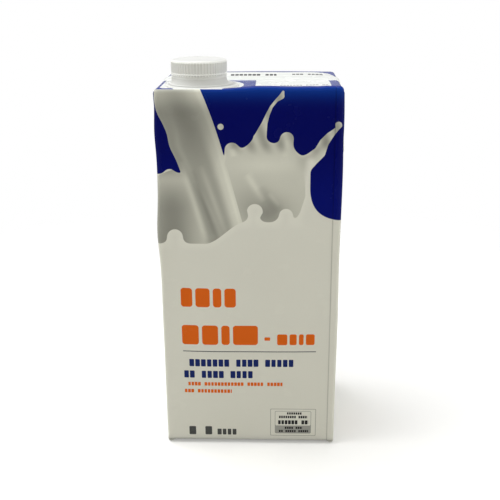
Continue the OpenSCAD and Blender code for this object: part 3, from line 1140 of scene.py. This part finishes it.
def bottom_fin(folds, board, materials):
    """The sealed fin pressed flat under the base."""
    w, t = mm(folds, "fin_w", "fin_t")
    section = [
        (0.0, -0.2), (w - 0.1, -0.2), (w, 0.0), (w, t / 2 - 0.05), (w - 0.1, t / 2), (w, t / 2 + 0.05),
        (w, t - 0.1), (w - 0.15, t), (0.6, t), (0.1, t * 0.6), (-0.5, 0.0), (-0.5, -0.2),
    ]
    across, outward = np.array([0.0, 1, 0]), np.array([0, 0, -1.0])
    stations = [
        (np.array([x, 0, board.base_gap / MM]), across, outward)
        for x in np.linspace(-WIDTH / 2 + 3, WIDTH / 2 - 3, 24)
    ]
    return fin_ribbon("bottom_fin", section, stations, range(2, 6), materials)


# ---------------------------------------------------------------- spout and cap

def build_spout(spout, material):
    """Flange, flared foot, shoulder and neck as one closed skin."""
    flange_t, reach, foot_r, shoulder_r, neck_r, weld_r = mm(
        spout, "flange_t", "flange_reach", "foot_r", "shoulder_r", "neck_r", "weld_r"
    )
    outer = AXIS.x - SPOUT_LOW.x
    step = TOP_Z + flange_t + 0.40
    shoulder, neck_top = RING_LOW.z, SPOUT_HIGH.z
    # A level is (radius, height, share of the flange's straight stretch, painted shade).
    profile = [(outer - 1.0, TOP_Z, 1, 0), (outer - 0.15, TOP_Z, 1, 0), (outer, TOP_Z + 0.15, 1, 0)]
    profile += [(r, z, 1, 0) for r, z in arc((outer - 0.25, TOP_Z + 0.2), 0.25, 0, 70, 4)]
    # A low step runs round the foot, and its upright face is painted darker as a thin line of painted
    # shade.
    riser = 1.2
    profile += [
        (weld_r + 0.5, TOP_Z + 0.72, 0.9, 0),
        (weld_r, TOP_Z + 0.72, 0.8, riser),
        (weld_r - 0.1, TOP_Z + 0.66, 0.75, riser),
        (weld_r - 0.22, TOP_Z + 0.72, 0.7, riser),
        (weld_r - 0.28, TOP_Z + 1.10, 0.6, riser),
        (weld_r - 0.42, step, 0.5, 0),
    ]
    # The foot's flare and shoulder are painted darker: painted shade.
    fillet, flare_shade = 0.4, 0.55
    for r, z in arc((foot_r + fillet, step + fillet), fillet, 270, 180, 5):
        profile.append((r, z, 0, flare_shade if z > step + 0.1 else 0))
    rise = shoulder - 0.2 - step - fillet
    for share in np.linspace(0.15, 1, 7):
        flared = shoulder_r + (foot_r - shoulder_r) * (1 - share) ** 3
        profile.append((flared, step + fillet + rise * share * 0.9, 0, flare_shade))
    for r, z in arc((shoulder_r - 0.2, shoulder - 0.2), 0.2, 0, 90, 4):
        profile.append((r, z, 0, flare_shade if r > shoulder_r - 0.01 else 0))
    neck = ((neck_r, shoulder), (neck_r, neck_top - 0.2), (neck_r - 0.2, neck_top))
    profile += [(r, z, 0, 0) for r, z in neck]
    segments = 192
    angles = np.linspace(-math.pi / 2, 1.5 * math.pi, segments, endpoint=False)
    half_turn = np.cos(angles) > 1e-9
    rings = [
        np.column_stack([
            AXIS.x + np.where(half_turn, reach * share, 0.0) + radius * np.cos(angles),
            AXIS.y + radius * np.sin(angles),
            np.full(segments, z),
        ])
        for radius, z, share, _ in profile
    ]
    piece = make_piece("spout_body", *loft(rings), [material])
    store(piece, "groove", [*np.repeat([level[3] for level in profile], segments), 0, 0])
    return piece


def turned(name, profile, material, segments=240):
    """A piece turned about the spout's axis. Its profile of (radius, height) closes on itself."""
    angles = np.linspace(0, 2 * math.pi, segments, endpoint=False)
    points = [
        (AXIS.x + r * math.cos(a), AXIS.y + r * math.sin(a), z) for r, z in profile for a in angles
    ]
    rows = [*range(len(profile)), 0]
    columns = [*range(segments), 0]
    faces = [
        (low * segments + i, low * segments + j, high * segments + j, high * segments + i)
        for low, high in zip(rows, rows[1:])
        for i, j in zip(columns, columns[1:])
    ]
    return make_piece(name, points, faces, [material])


def reach_and_rise(piece):
    """Distance from the spout's axis and height of each point of a piece, in millimetres."""
    place = read(piece.data.vertices, "co", float, 3) / MM
    return np.hypot(place[:, 0] - AXIS.x, place[:, 1] - AXIS.y), place[:, 2]


def rounded_profile(inner, outer, low, high, r, steps=3):
    """A rounded rectangle of radius and height, for a ring."""
    return (
        arc((outer - r, low + r), r, -90, 0, steps)
        + arc((outer - r, high - r), r, 0, 90, steps)
        + arc((inner + r, high - r), r, 90, 180, steps)
        + arc((inner + r, low + r), r, 180, 270, steps)
    )


def cap_shell(cap, material):
    """The cap without its ribs: lip, wall, rounded rim and a shallow dish with a moulding mark."""
    depth, lip_h, rim, bore, dish = mm(cap, "rib_depth", "lip_h", "rim_r", "bore_r", "dish")
    outer = CAP_HIGH.x - AXIS.x
    low, high = CAP_LOW.z, CAP_HIGH.z
    wall = outer - depth
    edge = wall - rim
    floor = high - dish
    ceiling = SPOUT_HIGH.z + 0.01
    profile = [(bore, low + 0.1), (bore + 0.1, low)]
    profile += [(outer - 0.5, low), (outer - 0.02, low + 0.12), (outer, low + lip_h * 0.6)]
    profile += [(wall, low + lip_h * 0.6 + depth)]
    profile += [(wall, z) for z in np.linspace(low + lip_h + 0.45, high - rim - 0.25, 5)]
    profile += arc((edge, high - rim), rim, 8, 90, 10)
    profile += [(edge - 0.5, high - 0.01), (edge - 0.9, high - dish * 0.5), (edge - 1.4, floor)]
    profile += [(r, floor) for r in (edge * 0.7, edge * 0.4, 2.6)]
    profile += [(1.15, floor - 0.02), (0.95, floor + 0.10), (0.5, floor + 0.14), (0.02, floor + 0.15)]
    profile += [(r, ceiling) for r in (0.02, bore * 0.5, bore)]
    shell = turned("cap_shell", profile, material)
    reach, rise = reach_and_rise(shell)
    # The rim and the lip between the ribs are painted paler: a painted highlight.
    on_rim = (rise > high - rim - 0.1) & (rise < high - rim * 0.15)
    on_lip = rise < low + lip_h * 0.7 + depth
    store(shell, "groove", -1.1 * ((on_rim | on_lip) & (reach > edge + 0.1) & (rise < high - 0.02)))
    return shell


def rounded_bar(name, half_w, root, levels, material):
    """A small upright bar with a rounded face that looks along +X.

    A level is (height, how far the face stands out, how much paler it is painted there, a painted
    highlight).
    """
    across = [(math.sin(a), math.cos(a)) for a in np.radians([-90, -62, -34, 0, 34, 62, 90])]
    rings = []
    for height, out, _ in levels:
        face = [((out + root) * c - root, half_w * s, height) for s, c in across]
        rings.append([(-root, -half_w, height), *face, (-root, half_w, height)])
    piece = make_piece(name, *loft(rings), [material])
    pale = [-level[2] for level in levels]
    store(piece, "groove", [*np.repeat(pale, len(rings[0])), pale[0], pale[-1]])
    return piece


def ring_tree():
    """Geometry Nodes: copies of a piece stood round a circle, joined to what is already there."""
    tree = bpy.data.node_groups.new("Ring of copies", "GeometryNodeTree")
    sockets = (
        ("Geometry", "NodeSocketGeometry"), ("Copy", "NodeSocketObject"), ("Count", "NodeSocketInt"),
        ("Radius", "NodeSocketFloat"), ("Centre", "NodeSocketVector"), ("Material", "NodeSocketMaterial"),
    )
    for name, kind in sockets:
        tree.interface.new_socket(name, in_out="INPUT", socket_type=kind)
    tree.interface.new_socket("Geometry", in_out="OUTPUT", socket_type="NodeSocketGeometry")
    graph = Graph(tree)
    given = graph.add("NodeGroupInput").outputs
    circle = graph.add("GeometryNodeMeshCircle", {"Vertices": given["Count"], "Radius": given["Radius"]})
    copied = graph.add("GeometryNodeObjectInfo", {"Object": given["Copy"]})
    place = graph.add("GeometryNodeInputPosition").outputs[0]
    facing = graph.add("FunctionNodeAlignRotationToVector", {"Vector": place}, axis="X", pivot_axis="Z")
    copies = graph.add("GeometryNodeInstanceOnPoints", {
        "Points": circle.outputs[0], "Instance": copied.outputs["Geometry"], "Rotation": facing.outputs[0],
    })
    placed = {"Geometry": copies.outputs[0], "Translation": given["Centre"]}
    moved = graph.add("GeometryNodeTransform", placed)
    joined = graph.add("GeometryNodeJoinGeometry")
    tree.links.new(moved.outputs[0], joined.inputs[0])
    tree.links.new(given["Geometry"], joined.inputs[0])
    real = graph.add("GeometryNodeRealizeInstances", {"Geometry": joined.outputs[0]})
    paints = {"Geometry": real.outputs[0], "Material": given["Material"]}
    painted = graph.add("GeometryNodeSetMaterial", paints)
    end = graph.add("NodeGroupOutput")
    tree.links.new(painted.outputs[0], end.inputs[0])
    return tree


def with_ring(name, piece, copy, count, radius, foot, material):
    """The piece with a ring of copies joined to it from a height upward, as one plain mesh."""
    tree = shared_group("Ring of copies", ring_tree)
    modifier = piece.modifiers.new("Ring", "NODES")
    modifier.node_group = tree
    centre = tuple(Vector((AXIS.x, AXIS.y, foot)) * MM)
    given = {"Copy": copy, "Count": count, "Radius": radius * MM, "Centre": centre, "Material": material}
    for item in tree.interface.items_tree:
        if item.in_out == "INPUT" and item.name in given:
            modifier[item.identifier] = given[item.name]
    depsgraph = bpy.context.evaluated_depsgraph_get()
    mesh = bpy.data.meshes.new_from_object(piece.evaluated_get(depsgraph))
    mesh.name = name
    mesh.polygons.foreach_set("use_smooth", [True] * len(mesh.polygons))
    made = new_object(name, mesh)
    piece.modifiers.remove(modifier)
    for spent in (piece, copy):
        bpy.data.objects.remove(spent)
    return made


def seat(piece, slot, crisp, *nodes):
    """Lets a finished piece ride on the carton and stand for its CAD nodes.

    Corners sharper than that many degrees stay crisp, and the rest is shaded smooth.
    """
    if crisp:
        piece.data.set_sharp_from_angle(angle=math.radians(crisp))
    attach(piece, "root")
    if nodes:
        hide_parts(*nodes)


# ---------------------------------------------------------------- operators

class CARTON_OT_board(bpy.types.Operator):
    """Builds the printed body of the carton"""

    bl_idname = "carton.board"
    bl_label = "Board"

    def execute(self, context):
        board, inks = settings("carton_board"), settings("carton_print")
        materials = [
            wide_print("Front print", "x", 3.0, inks),
            side_print("Right print", "y", 11.0, inks),
            wide_print("Back print", "-x", 57.0, inks),
            side_print("Left print", "-y", 83.0, inks),
            top_print(inks),
            plain_board("Base board", inks.milk, inks),
        ]
        seat(build_board(board, materials), "printed_board", None, "carton")
        return {"FINISHED"}


class CARTON_OT_folds(bpy.types.Operator):
    """Builds the sealed fins and the four folded flaps"""

    bl_idname = "carton.folds"
    bl_label = "Fins and flaps"

    def execute(self, context):
        board, folds, inks = settings("carton_board"), settings("carton_folds"), settings("carton_print")
        blue = plain_board("Flap board", inks.blue_top, inks)
        milk = plain_board("Bottom flap board", inks.milk, inks, (
            (20, 23, -14, -11, 0.4, inks.orange),
            (24.5, 27.5, -14, -11, 0.4, inks.navy),
            (29, 32, -14, -11, 0.4, inks.grey),
        ))
        fin = [fin_board(inks), cut_edge()]
        pieces = [
            seal_fin(folds, fin),
            side_flap("side_flap_right", 1, folds, blue),
            side_flap("side_flap_left", -1, folds, blue),
            bottom_flap("bottom_flap_right", 1, folds, milk),
            bottom_flap("bottom_flap_left", -1, folds, milk),
            bottom_fin(folds, board, fin),
        ]
        for piece in pieces:
            seat(piece, "printed_board", 35)
        return {"FINISHED"}


class CARTON_OT_spout(bpy.types.Operator):
    """Builds the glued spout with its flange and neck"""

    bl_idname = "carton.spout"
    bl_label = "Spout"

    def execute(self, context):
        white = plastic("Spout plastic", settings("carton_cap").plastic)
        seat(build_spout(settings("carton_spout"), white), "cap_plastic", 50, "spout")
        return {"FINISHED"}


def build_cap(cap, white):
    """The screw cap. Each rib's face leans back over the rim, where it catches the light from above and is
    painted paler too, a painted highlight.
    """
    depth, rib_w, rim, lip_h = mm(cap, "rib_depth", "rib_w", "rim_r", "lip_h")
    foot = CAP_LOW.z + lip_h * 0.7
    full = CAP_HIGH.z - foot
    levels = (
        (0.0, 0.0, 0.0),
        (0.3, depth, 0.0),
        (full - rim - 0.25, depth, 0.0),
        (full - rim - 0.1, depth, 1.3),
        (full - 0.22, -0.42, 1.3),
        (full - 0.03, -0.85, 1.0),
    )
    rib = rounded_bar("rib", rib_w / 2, 0.95, levels, white)
    shell = cap_shell(cap, white)
    radius = CAP_HIGH.x - AXIS.x - depth
    return with_ring("screw_cap_ribbed", shell, rib, cap.rib_count, radius, foot, white)


def build_ring(cap, white):
    """The tamper ring, with the bridges that hold it to the cap."""
    outer, low, high = RING_HIGH.x - AXIS.x, RING_LOW.z, RING_HIGH.z
    band = turned("ring_band", rounded_profile(cap.bore_r / MM, outer, low, high, 0.16), white)
    reach, rise = reach_and_rise(band)
    # The upper outer edge of the band is painted darker: painted shade under the cap.
    store(band, "groove", 0.5 * ((reach > outer - 0.5) & (rise > high - 0.25)))
    gap = CAP_LOW.z - high
    # The last item of each level is a painted highlight: the bridges are painted paler.
    levels = (
        (0.0, 0.0, 0.3),
        (0.05, 0.46, 1.0),
        (0.16, 0.50, 1.3),
        (gap + 0.72, -0.22, 1.3),
        (gap + 0.85, -0.55, 1.0),
    )
    bridge = rounded_bar("bridge", 0.42, 0.8, levels, white)
    return with_ring("tamper_ring_bridged", band, bridge, cap.bridge_count, outer, high - 0.3, white)


class CARTON_OT_cap(bpy.types.Operator):
    """Builds the ribbed screw cap and its tamper ring with the bridges"""

    bl_idname = "carton.cap"
    bl_label = "Cap and tamper ring"

    def execute(self, context):
        cap = settings("carton_cap")
        white = plastic("Cap plastic", cap.plastic)
        seat(build_cap(cap, white), "cap_plastic", 30, "screw_cap")
        seat(build_ring(cap, white), "cap_plastic", 30, "tamper_ring")
        return {"FINISHED"}


class CARTON_OT_stage(bpy.types.Operator):
    """Sets up the floor, the lights and the camera"""

    bl_idname = "carton.stage"
    bl_label = "Stage"

    def execute(self, context):
        stage = settings("carton_stage")
        build_floor()
        build_world(stage)
        warm = (1, 0.99, 0.90)
        area_light("Top softbox", (-0.28, 0.10, 1.15), stage.top_light, (1, 1, 1), True)
        area_light("Front fill", (0.1, -1.4, 0.5), stage.front_light, warm, False)
        area_light("Left softbox", (-1.25, -0.35, 0.5), stage.left_light, warm, False)
        area_light("Right softbox", (1.25, -0.30, 0.5), stage.right_light, warm, False)
        build_camera(stage)
        context.scene.view_settings.view_transform = "Standard"
        return {"FINISHED"}


def build_floor():
    """A pale floor that fades into the white all round. It is darker in reflections than to the eye."""
    half = 6.0
    corners = [(-half, -half, 0), (half, -half, 0), (half, half, 0), (-half, half, 0)]
    mesh = bpy.data.meshes.new("floor")
    mesh.from_pydata(corners, [], [(0, 1, 2, 3)])
    material, graph, place, shader = new_material("Floor")
    path = graph.add("ShaderNodeLightPath").outputs
    seen = path["Is Camera Ray"]
    base = graph.mix(path["Is Diffuse Ray"], (0.97, 0.97, 0.97, 1), (0.62, 0.61, 0.54, 1))
    base = graph.mix(path["Is Glossy Ray"], base, (0.10, 0.10, 0.10, 1))
    graph.feed(shader.inputs["Base Color"], base)
    fade = graph.step(graph.size(place), 0.16, 0.42)
    beneath = graph.add("ShaderNodeNewGeometry").outputs["Backfacing"]
    hidden = graph.times(graph.math("MAXIMUM", fade, beneath), seen)
    # Light reaches the base through the floor, so that the base can be seen from below.
    short = graph.math("LESS_THAN", path["Ray Length"], 0.006)
    let_through = graph.times(short, path["Is Diffuse Ray"])
    graph.feed(shader.inputs["Alpha"], graph.minus(1.0, graph.math("MAXIMUM", hidden, let_through)))
    graph.feed(shader.inputs["Emission Strength"], graph.times(seen, 0.12))
    shader.inputs["Emission Color"].default_value = (1, 1, 1, 1)
    shader.inputs["Roughness"].default_value = 1.0
    shader.inputs["Specular IOR Level"].default_value = 0.0
    mesh.materials.append(material)
    new_object("floor", mesh)


def build_world(stage):
    """White to the eye, soft and even as light, and bright low down behind in reflections."""
    world = bpy.data.worlds.new("World")
    bpy.context.scene.world = world
    world.use_nodes = True
    world.node_tree.nodes.clear()
    graph = Graph(world.node_tree)
    path = graph.add("ShaderNodeLightPath").outputs
    direction = graph.split(graph.add("ShaderNodeTexCoord").outputs["Generated"])
    low = graph.times(graph.step(direction["Z"], -0.02, 0.09), graph.step(direction["Z"], 0.62, 0.12))
    behind = graph.fit(graph.step(direction["Y"], -0.3, 0.6), 0.62, 0.14)
    ambient = (stage.ambient,) * 3 + (1,)
    strength = graph.mix(path["Is Glossy Ray"], ambient, graph.fit(low, behind, 0.06))
    strength = graph.mix(path["Is Camera Ray"], strength, (1.0, 1.0, 1.0, 1.0))
    back = graph.add("ShaderNodeBackground", {"Color": strength, "Strength": 1.0})
    graph.add("ShaderNodeOutputWorld", {"Surface": back.outputs[0]})


def area_light(name, place, power, tint, shines):
    """A square softbox that looks at the carton. It shows in gloss only where it shines."""
    lamp = bpy.data.lights.new(name, "AREA")
    lamp.shape = "SQUARE"
    lamp.size = 0.9
    lamp.energy = power
    lamp.color = tint
    holder = new_object(name, lamp)
    holder.location = place
    look = Vector((0, 0, 0.1)) - Vector(place)
    holder.rotation_euler = look.to_track_quat("-Z", "Y").to_euler()
    holder.visible_glossy = shines


def build_camera(stage):
    """The camera, which looks slightly down at the front panel."""
    lens = bpy.data.cameras.new("Camera")
    lens.lens = stage.lens
    lens.sensor_width = 36
    lens.clip_start = 0.01
    pitch, yaw, roll = stage.camera_pitch, stage.camera_yaw, stage.camera_roll
    level = Vector((-math.sin(yaw), math.cos(yaw), 0)) * math.cos(pitch)
    forward = level - Vector((0, 0, math.sin(pitch)))
    right = forward.cross(Vector((0, 0, 1))).normalized()
    up = right.cross(forward)
    turned_right = right * math.cos(roll) + up * math.sin(roll)
    turned_up = up * math.cos(roll) - right * math.sin(roll)
    matrix = Matrix((turned_right, turned_up, -forward)).transposed().to_4x4()
    matrix.translation = Vector(stage.camera_place)
    camera = new_object("Camera", lens)
    camera.matrix_world = matrix
    bpy.context.scene.camera = camera


class CARTON_PT_panel(bpy.types.Panel):
    """Lists the pieces of the carton"""

    bl_idname = "CARTON_PT_panel"
    bl_label = "Milk carton"
    bl_space_type = "VIEW_3D"
    bl_region_type = "UI"
    bl_category = "Carton"

    def draw(self, context):
        for operator in OPERATORS:
            self.layout.operator(operator.bl_idname)


SETTINGS = {
    "carton_board": BoardSettings,
    "carton_folds": FoldSettings,
    "carton_print": PrintSettings,
    "carton_spout": SpoutSettings,
    "carton_cap": CapSettings,
    "carton_stage": StageSettings,
}
OPERATORS = (CARTON_OT_board, CARTON_OT_folds, CARTON_OT_spout, CARTON_OT_cap, CARTON_OT_stage)


def register():
    for name, group in SETTINGS.items():
        bpy.utils.register_class(group)
        setattr(bpy.types.Scene, name, bpy.props.PointerProperty(type=group))
    for cls in (*OPERATORS, CARTON_PT_panel):
        bpy.utils.register_class(cls)


def unregister():
    for cls in (CARTON_PT_panel, *reversed(OPERATORS)):
        bpy.utils.unregister_class(cls)
    for name, group in reversed(SETTINGS.items()):
        delattr(bpy.types.Scene, name)
        bpy.utils.unregister_class(group)


def main():
    """Builds every piece in turn."""
    register()
    bpy.ops.carton.board()
    bpy.ops.carton.folds()
    bpy.ops.carton.spout()
    bpy.ops.carton.cap()
    bpy.ops.carton.stage()


if __name__ == "__main__":
    main()
